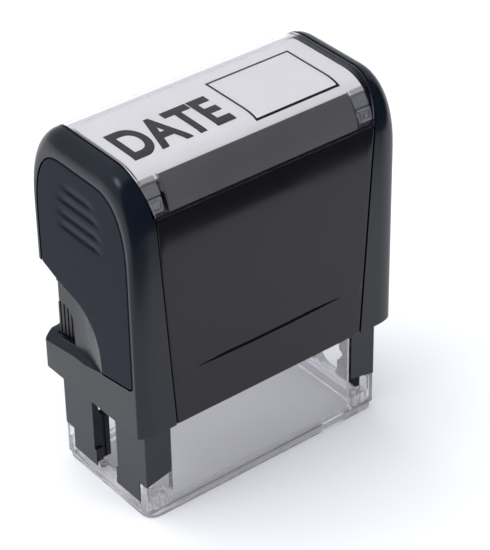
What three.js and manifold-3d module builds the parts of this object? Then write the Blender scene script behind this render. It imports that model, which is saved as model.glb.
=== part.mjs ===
// A self-inking hand stamp, in millimetres, +Z up.
// X runs along the length, -Y is the front, and Z = 0 is the paper that the clear base stands on.
// At rest the cap is up and the rubber text plate faces up against the ink pad. Pressing the cap
// carries the platen down while its guide pins turn it over in the frame's cam grooves.

import * as THREE from "three";
import { mergeVertices } from "three/addons/utils/BufferGeometryUtils.js";
import Module from "manifold-3d";

const wasm = await Module();
wasm.setup();

// ---- driving dimensions -------------------------------------------------------------------

const GAP = 0.3; // between neighbouring pieces
const FAR = 60; // past the edge of any piece, for cutters

const BASE = { halfX: 31.8, halfY: 15.5, corner: 3, foot: 0.8 };
const FRAME = { halfX: 31.7, halfY: 14.8, wall: 1.8, bottom: 3.2, top: 50 };
const LEG = { width: 6.6, footOuter: 8.65, footInner: 10.1, notchY: 12 };
const SLOT = { half: 4.3, footHalf: 3.7, footTop: 7.5 };
const STROKE = 23.5;
const PIVOT_Z = 30.6;

const CAP = { halfX: 34.46, bottom: 24.4, innerX: 32.15 };
const ARCH = { half: 17.69, top: 86.2, flat: 8, spring: 74, power: 2.1 }; // side view of the cap
const END_ARCH = { half: 16.2, top: 81.8, flat: 5.8, spring: 65, power: 2.5 }; // its end face
const ROUND_START = 30; // X where the end rounding begins
const SKIN_END = 31.2; // half length of the skin under the panels and of their inner face
const SEAM = { bottomX: 25.2, kneeX: 28.4, topX: 30.8, kneeZ: 76.1 }; // grooves beside the panels
const SKIN = { half: 16.3, top: 84.3, flat: 7.6, spring: 73.2, power: 2.1 }; // under the panels
const LINING = { half: 16.6, top: 84.9, flat: 7.8, spring: 73.6, power: 2.1 }; // panels' inner face
const CARD_OUT = { half: 16.52, top: 84.78, flat: 7.7, spring: 73.5, power: 2.1 };
const CARD_IN = { half: 16.36, top: 84.45, flat: 7.6, spring: 73.4, power: 2.1 };
const CAVITY = { half: 15.2, top: 82.6, flat: 7.2, spring: 72.2, power: 2.1 };
const GRIP = { half: 15.4, top: 81.1, flat: 5.5, spring: 64, power: 2.5, inner: 33.5 };
const LIP = { atCentre: 33.9, slope: -0.151, rise: 1.6 }; // height of the lower lip along Y
const WINDOW = { bottom: 33, top: 48 }; // cap's rear opening for the ink cartridge

const CARTRIDGE = { halfX: 29.6, front: -12.7, rear: 14.9, bottom: 38.3, top: 46.3 };
const PAD = { halfX: 24.9, halfY: 10.2, bottom: 38.1, top: 41.7 };
const THUMB = { front: 7.4, bottom: 33.3, top: 43, face: 31.6, ribs: 5, pitch: 1.35 };
const PLATEN = { halfX: 27, halfY: 9.6, halfZ: 2.6 };
const AXLE_R = 1.9;
const PIN = { radius: 1.2, arm: 6, clearance: 0.35, depth: 1 };
const SPRING = { radius: 5.9, wire: 0.8, turns: 6.5, bottom: 50.2, top: 79.3 };
const BRIDGE = { inner: 30.2, outer: 31.5, half: 3.4, bottom: 79.5, top: 82.2 };

// ---- materials ------------------------------------------------------------------------------

const plastic = (color, roughness = 0.45) =>
  new THREE.MeshStandardMaterial({ color, roughness, metalness: 0 });
const BLACK = plastic(0x2f3237);
const CHARCOAL = plastic(0x3d3d41);
const INNER_BLACK = plastic(0x1d1e21, 0.55);
const CLEAR = new THREE.MeshStandardMaterial({
  color: 0xe9ebef,
  roughness: 0.05,
  metalness: 0,
  transparent: true,
  opacity: 0.35,
});
const PAPER = plastic(0xf2f2f4, 0.9);
const RUBBER = plastic(0x4a3a38, 0.8);
const FOAM = plastic(0x6b6b6e, 0.95);
const FELT = plastic(0x17181c, 1);
const STEEL = new THREE.MeshStandardMaterial({ color: 0xb9bcc0, roughness: 0.3, metalness: 1 });

// ---- solids ---------------------------------------------------------------------------------

function solid(geometry) {
  const bare = geometry.clone();
  bare.deleteAttribute("normal");
  bare.deleteAttribute("uv");
  const merged = mergeVertices(bare, 1e-4);
  return new wasm.Manifold(
    new wasm.Mesh({
      numProp: 3,
      vertProperties: merged.attributes.position.array,
      triVerts: new Uint32Array(merged.index.array),
    }),
  );
}

function geometryOf(body) {
  const made = body.getMesh();
  const geometry = new THREE.BufferGeometry();
  geometry.setAttribute("position", new THREE.BufferAttribute(made.vertProperties.slice(), 3));
  geometry.setIndex(new THREE.BufferAttribute(made.triVerts.slice(), 1));
  geometry.computeVertexNormals();
  return geometry;
}

function block([x0, x1], [y0, y1], [z0, z1]) {
  const box = new THREE.BoxGeometry(x1 - x0, y1 - y0, z1 - z0);
  return solid(box.translate((x0 + x1) / 2, (y0 + y1) / 2, (z0 + z1) / 2));
}

const shapeOf = (points) => new THREE.Shape(points.map(([a, b]) => new THREE.Vector2(a, b)));

function prism(outline, depth, matrix) {
  const shape = outline instanceof THREE.Shape ? outline : shapeOf(outline);
  const body = new THREE.ExtrudeGeometry(shape, { depth, bevelEnabled: false, curveSegments: 10 });
  return solid(body.applyMatrix4(matrix));
}

// Outlines drawn in (Y, Z), (X, Z) and (X, Y), carried along X, Y and Z.
const alongX = (outline, x0, x1) =>
  prism(outline, x1 - x0, new THREE.Matrix4().set(0, 0, 1, x0, 1, 0, 0, 0, 0, 1, 0, 0, 0, 0, 0, 1));
const alongY = (outline, y0, y1) =>
  prism(outline, y1 - y0, new THREE.Matrix4().set(1, 0, 0, 0, 0, 0, -1, y1, 0, 1, 0, 0, 0, 0, 0, 1));
const alongZ = (outline, z0, z1) => prism(outline, z1 - z0, new THREE.Matrix4().makeTranslation(0, 0, z0));

// A closed solid through rings of [y, z] points, one ring at each X, counter-clockwise from +X.
function loft(stations) {
  const n = stations[0].ring.length;
  const positions = stations.flatMap(({ x, ring }) => ring.flatMap(([y, z]) => [x, y, z]));
  const index = [];
  for (let i = 0; i < stations.length - 1; i++)
    for (let j = 0; j < n; j++) {
      const [a, b] = [i * n + j, i * n + ((j + 1) % n)];
      index.push(a, b, b + n, a, b + n, a + n);
    }
  const last = (stations.length - 1) * n;
  const cap = (ring) => THREE.ShapeUtils.triangulateShape(ring.map(([y, z]) => new THREE.Vector2(y, z)), []);
  for (const [a, b, c] of cap(stations[0].ring)) index.push(a, c, b);
  for (const [a, b, c] of cap(stations.at(-1).ring)) index.push(last + a, last + b, last + c);
  const geometry = new THREE.BufferGeometry();
  geometry.setAttribute("position", new THREE.Float32BufferAttribute(positions, 3));
  return solid(geometry.setIndex(index));
}

// The same solid on the other end of the stamp.
function mirrored(body) {
  const geometry = geometryOf(body).applyMatrix4(new THREE.Matrix4().makeScale(-1, 1, 1));
  const index = geometry.index.array;
  for (let i = 0; i < index.length; i += 3) [index[i + 1], index[i + 2]] = [index[i + 2], index[i + 1]];
  return solid(geometry);
}
const both = (body) => body.add(mirrored(body));

// A disc or rod with its axis along X.
function rodX(radius, x0, x1, y = 0, z = 0, sides = 24) {
  const rod = new THREE.CylinderGeometry(radius, radius, x1 - x0, sides);
  return solid(rod.rotateZ(Math.PI / 2).translate((x0 + x1) / 2, y, z));
}
function rodZ(radius, z0, z1, sides = 24) {
  const rod = new THREE.CylinderGeometry(radius, radius, z1 - z0, sides);
  return solid(rod.rotateX(Math.PI / 2).translate(0, 0, (z0 + z1) / 2));
}

// Straight sides up to spring, then a superellipse shoulder to a flat top.
function archRing({ half, top, flat, spring, power }, foot, steps = 11) {
  const side = [[half, foot]];
  for (let k = 0; k <= steps; k++) {
    const angle = (k / steps) * (Math.PI / 2);
    const across = Math.max(Math.cos(angle), 0) ** (2 / power);
    side.push([flat + (half - flat) * across, spring + (top - spring) * Math.sin(angle) ** (2 / power)]);
  }
  return [...side, ...side.map(([y, z]) => [-y, z]).reverse()];
}
const archBar = (arch, halfX, foot) =>
  loft([-halfX, halfX].map((x) => ({ x, ring: archRing(arch, foot) })));

// The cap's outer form: the tall arch in the middle rounds over to the smaller arch at each end.
function capForm() {
  const middle = archRing(ARCH, CAP.bottom);
  const end = archRing(END_ARCH, CAP.bottom);
  const steps = 8;
  const right = [];
  for (let k = 0; k <= steps; k++) {
    const angle = (k / steps) * (Math.PI / 2);
    const mix = Math.cos(angle);
    const ring = middle.map(([y, z], i) => [
      end[i][0] + (y - end[i][0]) * mix,
      end[i][1] + (z - end[i][1]) * mix,
    ]);
    right.push({ x: ROUND_START + (CAP.halfX - ROUND_START) * Math.sin(angle), ring });
  }
  const left = right.map(({ x, ring }) => ({ x: -x, ring })).reverse();
  return loft([...left, ...right]);
}

// What lies between the two end bands, seen from the front.
function betweenBands(clear) {
  const side = [
    [SEAM.bottomX - clear, CAP.bottom - 1],
    [SEAM.kneeX - clear, SEAM.kneeZ],
    [SEAM.topX - clear, ARCH.top + 2],
  ];
  return alongY([...side, ...side.map(([x, z]) => [-x, z]).reverse()], -FAR, FAR);
}

const lipZ = (y) => LIP.atCentre + LIP.slope * y;

// Lower rear edge of the grip panel, from its tip on the lip up to the rear corner.
function sweep() {
  const points = [[-4.75, lipZ(-4.75)], [-4.2, 38.9], [-2.2, 44.1], [2, 47.9], [9, 50], [15.4, 52.4]];
  const curve = new THREE.SplineCurve(points.map(([y, z]) => new THREE.Vector2(y, z)));
  return curve.getPoints(16).map(({ x, y }) => [x, y]);
}

function gripOutline(grow) {
  const arch = { ...GRIP, half: GRIP.half + grow, top: GRIP.top + grow };
  const [rear, ...over] = archRing(arch, CAP.bottom).slice(0, -1);
  const front = -arch.half;
  const corner = 1.3;
  return [
    [front, lipZ(front) + corner - grow],
    [front + corner * 0.3, lipZ(front) + corner * 0.3 - grow],
    [front + corner, lipZ(front + corner) - grow],
    ...sweep().map(([y, z]) => [y, z - grow]).slice(0, -1),
    [rear[0], 52.4 - grow],
    ...over,
  ];
}

// The scoop behind the grip panel's swept edge: a floor that slants inwards, open at the rear corner.
function scoop() {
  const lip = (y, lift) => lipZ(y) + lift * Math.max(0, Math.min(1, (y + 4.75) / 12));
  const ring = (lift) => [
    [6, lip(6, lift)],
    [20, lip(20, lift)],
    [20, 54],
    ...sweep().reverse(),
  ];
  const wedge = loft([
    { x: 26, ring: ring(LIP.rise * 2.4) },
    { x: 32, ring: ring(LIP.rise) },
    { x: 36, ring: ring(-0.9) },
  ]);
  const plan = [[36, -6], [34.46, -4.75], [32.95, 2.8], [32.95, 12.3], [27.5, 12.3], [27.5, 20], [36, 20]];
  return wedge.intersect(alongZ(plan.reverse(), CAP.bottom, 60));
}

// The hole in the scoop's floor that the cartridge's ribbed thumb grip shows through.
function thumbHole() {
  const shape = new THREE.Shape();
  const [front, top, round] = [7.1, 43.4, 3.6];
  shape.moveTo(front, lipZ(front) + LIP.rise);
  shape.lineTo(20, lipZ(20) + LIP.rise);
  shape.lineTo(20, top);
  shape.lineTo(front + round, top);
  shape.absarc(front + round, top - round, round, Math.PI / 2, Math.PI, false);
  return alongX(shape, 30, 36);
}

// ---- cap --------------------------------------------------------------------------------------

const form = capForm();
const lining = archBar(LINING, SKIN_END, CAP.bottom - 1);
const panelShell = form.intersect(betweenBands(GAP)).subtract(lining);

function capHousing() {
  const rearStrip = form.intersect(block([-FAR, FAR], [0, FAR], [0, WINDOW.top - 1]));
  let body = form
    .subtract(betweenBands(0))
    .add(archBar(SKIN, SKIN_END, CAP.bottom))
    .add(rearStrip)
    .subtract(archBar(CAVITY, CAP.innerX, CAP.bottom - 1));
  const ends = scoop()
    .add(thumbHole())
    .add(alongX(gripOutline(GAP), GRIP.inner - GAP, 36));
  const gripWay = block([THUMB.face - 2.5, CAP.innerX], [12, FAR], [THUMB.bottom - GAP, THUMB.top + GAP]);
  const cartridgeWay = block([-28, 28], [10, FAR], [WINDOW.bottom, WINDOW.top]);
  body = body.subtract(both(ends.add(gripWay))).subtract(cartridgeWay);
  // notches in the skin for the lid's snap blocks
  const notch = (y) => both(block([24.3, 29], y, [77, 84.2]));
  return body.subtract(notch([11.8, FAR])).subtract(notch([-FAR, -11.8]));
}

// A long shallow crease, widest in the middle, low on the front panel.
function crease() {
  const [half, rise, z] = [20.5, 0.5, 36.9];
  const shape = new THREE.Shape();
  shape.moveTo(-half, z);
  shape.quadraticCurveTo(0, z - 2 * rise, half, z);
  shape.quadraticCurveTo(0, z + 2 * rise, -half, z);
  const depth = 0.45;
  return alongY(shape, -ARCH.half - 1, -ARCH.half + depth);
}

const frontPanel = () =>
  panelShell.intersect(block([-FAR, FAR], [-FAR, 0], [CAP.bottom, SEAM.kneeZ - GAP / 2])).subtract(crease());
const backPanel = () =>
  panelShell.intersect(block([-FAR, FAR], [0, FAR], [WINDOW.top, SEAM.kneeZ - GAP / 2]));

// Four soft diagonal grooves for the thumb, cut by rods that lie just outside the face.
function gripPanel() {
  const rodRadius = 1.7;
  const sink = 0.45;
  let body = alongX(gripOutline(0), GRIP.inner, CAP.halfX);
  for (const z of [75.1, 72, 68.5, 65.5]) {
    const length = z > 74 ? 11 : 15;
    const rod = new THREE.CapsuleGeometry(rodRadius, length, 3, 10);
    rod.translate(CAP.halfX + rodRadius - sink, 0.5, z);
    body = body.subtract(solid(rod));
  }
  return body;
}

// The window: a clear arch with two snap blocks under each shoulder.
function lid() {
  const shell = panelShell.intersect(block([-FAR, FAR], [-FAR, FAR], [SEAM.kneeZ + GAP / 2, FAR * 2]));
  const snap = (y, hollowY) =>
    both(block([24.7, 28.1], y, [77.4, 81.2]).subtract(block([25.4, 27.4], hollowY, [78, 80.6])));
  const snaps = snap([13.6, 16.4], [13, 15.4]).add(snap([-16.4, -13.6], [-15.4, -13]));
  // the snaps end inside the shell
  const reach = archBar({ ...LINING, half: LINING.half + 0.4 }, 28.1, 70);
  return shell.add(snaps.intersect(reach));
}

function indexCard() {
  const [halfX, halfY] = [28.6, 13.3];
  const outer = archBar(CARD_OUT, halfX, 60);
  const sheet = outer.subtract(archBar(CARD_IN, halfX + 1, 59));
  return sheet.intersect(block([-halfX, halfX], [-halfY, halfY], [60, 90]));
}

// ---- bridge and spring ------------------------------------------------------------------------

// An upside-down U that hangs under the cap's crown and carries the platen's axle in its two eyes.
function bridge() {
  const { inner, outer, half, bottom, top } = BRIDGE;
  const arm = block([inner, outer], [-half, half], [PIVOT_Z, top])
    .add(rodX(half, inner, outer, 0, PIVOT_Z, 28))
    .subtract(rodX(AXLE_R + 0.15, inner - 1, outer + 1, 0, PIVOT_Z, 20));
  const bar = block([-outer, outer], [-half, half], [bottom, top]);
  const waist = block([-26, 26], [-FAR, FAR], [bottom - 1, top + 1]);
  const slimSides = waist.subtract(block([-FAR, FAR], [-half + 1, half - 1], [0, 100]));
  const post = rodZ(3, bottom - 5, bottom + 1, 20);
  const seat = rodZ(7.2, bottom, top, 28);
  return bar.subtract(slimSides).add(both(arm)).add(post).add(seat);
}

// A helix of round wire whose first and last half turns lie flat.
class Helix extends THREE.Curve {
  getPoint(t) {
    const { radius, turns, bottom, top, wire } = SPRING;
    const angle = t * turns * 2 * Math.PI;
    const flat = 0.5 / turns;
    const rise = THREE.MathUtils.clamp((t - flat) / (1 - 2 * flat), 0, 1);
    const [low, high] = [bottom + wire / 2, top - wire / 2];
    return new THREE.Vector3(radius * Math.cos(angle), radius * Math.sin(angle), low + (high - low) * rise);
  }
}

function returnSpring() {
  const sides = 8;
  const section = new THREE.Shape();
  for (let k = 0; k < sides; k++) {
    const angle = (k / sides) * 2 * Math.PI;
    const [a, b] = [(SPRING.wire / 2) * Math.cos(angle), (SPRING.wire / 2) * Math.sin(angle)];
    if (k) section.lineTo(a, b);
    else section.moveTo(a, b);
  }
  return solid(new THREE.ExtrudeGeometry(section, { steps: 104, extrudePath: new Helix() }));
}

// ---- platen -----------------------------------------------------------------------------------

function platen() {
  const { halfX, halfY, halfZ } = PLATEN;
  const plate = block([-halfX, halfX], [-halfY, halfY], [PIVOT_Z - halfZ, PIVOT_Z + halfZ]);
  const hollow = block([-24, 24], [-halfY + 1.4, halfY - 1.4], [PIVOT_Z - 6, PIVOT_Z + halfZ - 1.4]);
  const web = block([-25, 25], [-0.7, 0.7], [PIVOT_Z - halfZ, PIVOT_Z + halfZ - 1]);
  const axle = rodX(AXLE_R, halfX - 1, BRIDGE.outer - 0.1, 0, PIVOT_Z, 20);
  const pin = rodX(PIN.radius, halfX - 1, FRAME.halfX - FRAME.wall + PIN.depth - 0.25, PIN.arm, PIVOT_Z, 14);
  return plate.subtract(hollow).add(web).add(both(axle.add(pin)));
}

const cushionZ = PIVOT_Z + PLATEN.halfZ;
const cushion = () => block([-25.5, 25.5], [-9.4, 9.4], [cushionZ + 0.02, cushionZ + 2]);

// Rubber sheet with a raised frame line round the text area.
function textPlate() {
  const [halfX, halfY, bottom, floor, face] = [24.6, 9.3, cushionZ + 2.02, PIVOT_Z + 6, PIVOT_Z + 7];
  const sheet = block([-halfX, halfX], [-halfY, halfY], [bottom, floor]);
  const outline = block([-halfX, halfX], [-halfY, halfY], [bottom, face]);
  const line = 0.9;
  const inside = block([-halfX + line, halfX - line], [-halfY + line, halfY - line], [floor, FAR]);
  return sheet.add(outline.subtract(inside));
}

// ---- frame --------------------------------------------------------------------------------------

// The groove in the end wall that the guide pin runs in: half a turn while the axle drops STROKE.
function camGroove() {
  const width = PIN.radius + PIN.clearance;
  const steps = 20;
  const at = (turn) => [
    PIN.arm * Math.cos(turn),
    PIVOT_Z - (STROKE * turn) / Math.PI - PIN.arm * Math.sin(turn),
  ];
  const [left, right] = [[], []];
  for (let k = -1; k <= steps + 1; k++) {
    const turn = (THREE.MathUtils.clamp(k, 0, steps) / steps) * Math.PI;
    const [y, z] = at(turn);
    const [dy, dz] = [-PIN.arm * Math.sin(turn), -STROKE / Math.PI - PIN.arm * Math.cos(turn)];
    const size = Math.hypot(dy, dz);
    const past = k < 0 ? -width : k > steps ? width : 0;
    const [cy, cz] = [y + (dy / size) * past, z + (dz / size) * past];
    left.push([cy - (dz / size) * width, cz + (dy / size) * width]);
    right.push([cy + (dz / size) * width, cz - (dy / size) * width]);
  }
  const face = FRAME.halfX - FRAME.wall;
  return alongX([...left, ...right.reverse()], face - 1, face + PIN.depth);
}

function frame() {
  const { halfX, halfY, wall, bottom, top } = FRAME;
  const legEdge = halfX - LEG.width;
  let body = block([-halfX, halfX], [-halfY, halfY], [bottom, top]);
  body = body.subtract(block([wall - halfX, halfX - wall], [wall - halfY, halfY - wall], [0, top - wall]));
  // front and rear are open between the legs
  body = body.subtract(block([-legEdge, legEdge], [-FAR, FAR], [0, 34]));
  const skirt = alongY([[legEdge - 9, 0], [FAR, 0], [FAR, LEG.footOuter], [halfX, LEG.footOuter],
    [legEdge, LEG.footInner]], LEG.notchY, FAR);
  const frontSkirt = alongY([[legEdge - 9, 0], [FAR, 0], [FAR, LEG.footOuter], [halfX, LEG.footOuter],
    [legEdge, LEG.footInner]], -FAR, -LEG.notchY);
  body = body.subtract(both(skirt)).subtract(both(frontSkirt));
  // rails that the cartridge rests on
  body = body.add(both(block([28.4, halfX - wall + 0.2], [-13.4, 13.4], [36.2, 38])));
  // end slots for the bridge's arms
  const slot = block([28, FAR], [-SLOT.half, SLOT.half], [SLOT.footTop, top + 1]);
  const slotFoot = block([28, FAR], [-SLOT.footHalf, SLOT.footHalf], [0, SLOT.footTop + 1]);
  body = body.subtract(both(slot.add(slotFoot))).subtract(both(camGroove()));
  // a ribbed guide wall behind each slot, lower than the platen's guide pin comes on that side
  const guide = block([PLATEN.halfX + 0.5, halfX - wall + 0.3], [SLOT.half, SLOT.half + 1.5], [4, 16])
    .add(block([28.4, 28.9], [SLOT.half - 0.4, SLOT.half + 0.1], [4.4, 15.6]));
  body = body.add(both(guide));
  // the way out for the cartridge, and for its thumb grips at the rear corners
  const wayOut = block([-FAR, FAR], [halfY - wall - 0.1, FAR], [CARTRIDGE.bottom - GAP, CARTRIDGE.top + GAP]);
  const gripWay = block([THUMB.face - 2.2, FAR], [THUMB.front - GAP, FAR], [THUMB.bottom - GAP, 46.6]);
  body = body.subtract(wayOut).subtract(both(gripWay));
  // spring seat
  const seat = rodZ(4.8, top - 1, top + 2.5).subtract(rodZ(3.4, top - 5, top + 5));
  return body.subtract(rodZ(3.4, top - 5, top + 5)).add(seat);
}

// ---- ink cartridge ------------------------------------------------------------------------------

function inkCartridge() {
  const { halfX, front, rear, bottom, top } = CARTRIDGE;
  const { face, ribs, pitch } = THUMB;
  let body = block([-halfX, halfX], [front, rear], [bottom, top]);
  const well = block([-PAD.halfX - GAP, PAD.halfX + GAP], [-PAD.halfY - GAP, PAD.halfY + GAP],
    [bottom - 1, PAD.top + GAP]);
  const pull = block([-9, 9], [rear - 1.2, rear + 1], [bottom + 2, top - 1.6]);
  const shape = new THREE.Shape();
  shape.moveTo(rear - 0.1, THUMB.bottom);
  shape.lineTo(rear - 0.1, THUMB.top - 2);
  shape.lineTo(rear - 2, THUMB.top);
  shape.absarc(THUMB.front + 3.2, THUMB.top - 3.2, 3.2, Math.PI / 2, Math.PI, false);
  shape.lineTo(THUMB.front, THUMB.bottom);
  let grip = alongX(shape, halfX - 0.2, face);
  for (let k = 0; k < ribs; k++) {
    const y = THUMB.front + 0.9 + k * pitch;
    grip = grip.subtract(block([face - 0.4, FAR], [y, y + 0.5], [0, FAR]));
  }
  return body.subtract(well).subtract(pull).add(both(grip));
}
const inkPad = () =>
  block([-PAD.halfX, PAD.halfX], [-PAD.halfY, PAD.halfY], [PAD.bottom, PAD.top]);

// ---- clear base ---------------------------------------------------------------------------------

function roundedRectangle(halfX, halfY, r) {
  const shape = new THREE.Shape();
  shape.moveTo(-halfX + r, -halfY);
  shape.lineTo(halfX - r, -halfY);
  shape.absarc(halfX - r, -halfY + r, r, -Math.PI / 2, 0, false);
  shape.lineTo(halfX, halfY - r);
  shape.absarc(halfX - r, halfY - r, r, 0, Math.PI / 2, false);
  shape.lineTo(-halfX + r, halfY);
  shape.absarc(-halfX + r, halfY - r, r, Math.PI / 2, Math.PI, false);
  shape.lineTo(-halfX, -halfY + r);
  shape.absarc(-halfX + r, -halfY + r, r, Math.PI, Math.PI * 1.5, false);
  return shape;
}

function clearBase() {
  const { halfX, halfY, corner, foot } = BASE;
  const lift = 0.05; // bodies meet inside each other by this much where they are joined
  let body = alongZ(roundedRectangle(halfX, halfY, corner), 0, foot);
  const quarter = (sideY) => {
    const y = (a, b) => (sideY > 0 ? [a, b] : [-b, -a]);
    const post = block([29.9, 31.6], y(12.3, 14.7), [foot - lift, 8.3]);
    const pocket = block([25.6, 30.5], y(12.3, 14.7), [foot - lift, 4.6])
      .subtract(block([26.5, 27.6], y(13, 14), [foot + 0.4, 9]))
      .subtract(block([28.4, 29.5], y(13, 14), [foot + 0.4, 9]));
    return post.add(pocket);
  };
  const endRail = block([29.6, 31.6], [-11.6, 11.6], [foot - lift, 2.9])
    .add(block([29.6, 31.6], [-3.4, 3.4], [foot, 4.4]))
    .subtract(rodX(SLOT.half, 28, 33, 0, PIVOT_Z - STROKE, 32));
  const wall = block([-24.7, 24.7], [13.1, 14.5], [foot - lift, 27.5]);
  body = body.add(both(quarter(1).add(quarter(-1)).add(endRail)));
  body = body.add(wall).add(block([-24.7, 24.7], [-14.5, -13.1], [foot - lift, 27.5]));
  // the walls stand between the legs and are tied to the corner blocks at their feet
  body = body.add(both(block([24, 26.2], [13.1, 14.5], [foot - lift, 4.6])));
  body = body.add(both(block([24, 26.2], [-14.5, -13.1], [foot - lift, 4.6])));
  return body.subtract(alongZ(roundedRectangle(27.6, 11.7, 2), -1, 9));
}

// ---- the stamp ----------------------------------------------------------------------------------

const stamp = new THREE.Group();
function put(name, body, material) {
  const mesh = new THREE.Mesh(geometryOf(body), material);
  mesh.name = name;
  stamp.add(mesh);
}

put("clear_base", clearBase(), CLEAR);
put("frame", frame(), BLACK);
put("ink_cartridge", inkCartridge(), INNER_BLACK);
put("ink_pad", inkPad(), FELT);
put("cap_housing", capHousing(), BLACK);
put("front_panel", frontPanel(), CHARCOAL);
put("back_panel", backPanel(), CHARCOAL);
put("grip_panel_right", gripPanel(), BLACK);
put("grip_panel_left", mirrored(gripPanel()), BLACK);
put("window_lid", lid(), CLEAR);
put("index_card", indexCard(), PAPER);
put("bridge", bridge(), INNER_BLACK);
put("return_spring", returnSpring(), STEEL);
put("platen", platen(), INNER_BLACK);
put("cushion", cushion(), FOAM);
put("text_plate", textPlate(), RUBBER);

export default stamp;
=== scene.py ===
"""Looks of a self-inking hand stamp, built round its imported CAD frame.

The covers, grips, window, card, print, spring and soft pads are surfaces worked out with numpy.
The housing, frame, clear base and inner parts keep their CAD shape, with softened edges.
Lengths inside the shape functions are millimetres; meshes are metres, in the frame's own axes.
"""

import math

import bmesh
import bpy
import numpy as np
from bpy.props import FloatProperty, FloatVectorProperty, PointerProperty, StringProperty
from mathutils import Matrix, Vector


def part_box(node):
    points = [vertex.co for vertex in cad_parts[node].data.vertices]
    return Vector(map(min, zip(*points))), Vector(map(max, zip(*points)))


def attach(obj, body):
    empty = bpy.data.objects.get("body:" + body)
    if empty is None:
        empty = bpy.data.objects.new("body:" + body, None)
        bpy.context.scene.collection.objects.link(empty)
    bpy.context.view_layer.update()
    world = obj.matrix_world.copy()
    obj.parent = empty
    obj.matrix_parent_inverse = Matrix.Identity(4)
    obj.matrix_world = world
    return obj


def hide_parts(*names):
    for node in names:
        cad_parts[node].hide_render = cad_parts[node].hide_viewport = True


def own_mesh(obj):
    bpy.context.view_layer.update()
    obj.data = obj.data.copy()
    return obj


bl_info = {
    "name": "Self-Inking Stamp",
    "version": (1, 0, 0),
    "blender": (4, 5, 0),
    "location": "3D View > Sidebar > Stamp",
    "description": "Builds the detailed pieces and the studio of a self-inking hand stamp",
    "category": "Object",
}

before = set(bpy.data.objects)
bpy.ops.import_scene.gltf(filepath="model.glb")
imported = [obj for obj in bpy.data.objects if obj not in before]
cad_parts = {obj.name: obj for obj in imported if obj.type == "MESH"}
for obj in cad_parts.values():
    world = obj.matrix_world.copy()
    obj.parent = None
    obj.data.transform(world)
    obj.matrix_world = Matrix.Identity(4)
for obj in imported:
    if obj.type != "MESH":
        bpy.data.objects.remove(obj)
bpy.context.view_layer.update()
MM = 0.001


def box_mm(node):
    """A CAD node's lowest and highest corners in millimetres, as two arrays."""
    low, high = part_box(node)
    return np.array(low) / MM, np.array(high) / MM


# ---- driving dimensions, in millimetres ------------------------------------------------------

CAP_LOW = box_mm("cap_housing")[0]
FRONT_LOW, FRONT_HIGH = box_mm("front_panel")
BACK_LOW, BACK_HIGH = box_mm("back_panel")
GRIP_LOW, GRIP_HIGH = box_mm("grip_panel_right")
LID_LOW, LID_HIGH = box_mm("window_lid")
CARD_HIGH = box_mm("index_card")[1]

# side views of the arches: straight up to spring, then a superellipse shoulder to a flat top
ARCH = {"half": 17.69, "top": LID_HIGH[2], "flat": 8.0, "spring": 74.0, "power": 2.1}
CARD_ARCH = {"half": 16.5, "top": 84.74, "flat": 7.7, "spring": 73.5, "power": 2.1}
GRIP_ARCH = {"half": 15.4, "top": 81.1, "flat": 5.5, "spring": 64.0, "power": 2.5}
GAP = 0.3
SEAM_BOTTOM_X, SEAM_KNEE_X, SEAM_TOP_X, SEAM_KNEE_Z = 25.2, 28.4, 30.38, 76.1
WALL = 1.05  # thickness of the covers
LID_WALL = 1.15
PAINTED_REFLECTION_HALF = 24.25  # half width of the grey reflection of the window, painted on the housing under it
RIM = 0.35  # rounding along the edges of the covers
LIP_CENTRE, LIP_SLOPE = 33.9, -0.151  # top of the lower lip along Y
SWEEP = [(-4.75, 34.62), (-4.2, 38.9), (-2.2, 44.1), (2.0, 47.9), (9.0, 50.0), (15.4, 52.4)]
THUMB_GROOVES = [(75.1, 6.6), (72.0, 8.4), (68.5, 8.6), (65.5, 8.6)]  # height, half length
THUMB_CENTRE_Y = 0.5
GROOVE_BELOW, GROOVE_ABOVE, GROOVE_FADE = 0.32, 1.25, 4.5  # a groove's section and its fading ends
ROWS = 60  # steps up a thumb panel
CREASE = {"half": 20.5, "rise": 0.55, "height": 36.9, "wall": 0.28, "fade": 0.25}  # front cover's lens
MARKS_X, MARK_S, MARK_DEPTH = (-18.6, 18.6), 4.2, 0.3  # short slots across the window's shoulders
BOSS_X, BOSS_S = 26.9, 2.75  # centre of a snap block's square boss
# stretch along the arch and depth below it of the grey sheet under the window's shoulders, a painted reflection of
# the window
PAINTED_REFLECTION_ALONG, PAINTED_REFLECTION_DEPTH = (0.55, 9.15), (1.22, 1.36)
CARD_THICK = 0.26
BOX_X, BOX_Y, BOX_LINE = (2.1, 24.1), (-10.9, 6.0), 0.52  # printed box
WORD_X, WORD_Y = (-26.2, -1.0), (-8.5, 2.5)  # printed word
COILS = 6.5
MERGE = 2e-6  # metres between corners that are one
FLAT_DEGREES = 0.6  # a CAD node's facets that lie flatter than this are one face

# ---- studio and fixed finishes, in metres, degrees and linear colour --------------------------------

CAMERA_PLACE = (-0.24252, -0.32079, 0.32261)
CAMERA_TURN = (-38.354, 34.968, -0.733)  # azimuth about +Z, elevation and roll
CAMERA_LENS, SENSOR_WIDTH, CAMERA_SHIFT = 149.72, 36.0, (-0.0276, 0.0011)
ROOM_COLOUR = (0.65, 0.67, 0.72)
FLOOR_COLOUR, FLOOR_RADIUS, FLOOR_DROP = (0.88, 0.88, 0.885), 3.0, 0.0002
FLOOR_RINGS, FLOOR_SPOKES = 24, 97
CLOTH_COLOUR, CLOTH_X, CLOTH_Y, CLOTH_HEIGHT = (0.004, 0.008, 0.012), (-0.6, 0.7), -0.102, 0.45
FROSTED = (0.4, 0.4, 0.44)
CUT_EDGE = (0.17, 0.125, 0.1)


# ---- grids and shells ---------------------------------------------------------------------------


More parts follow.
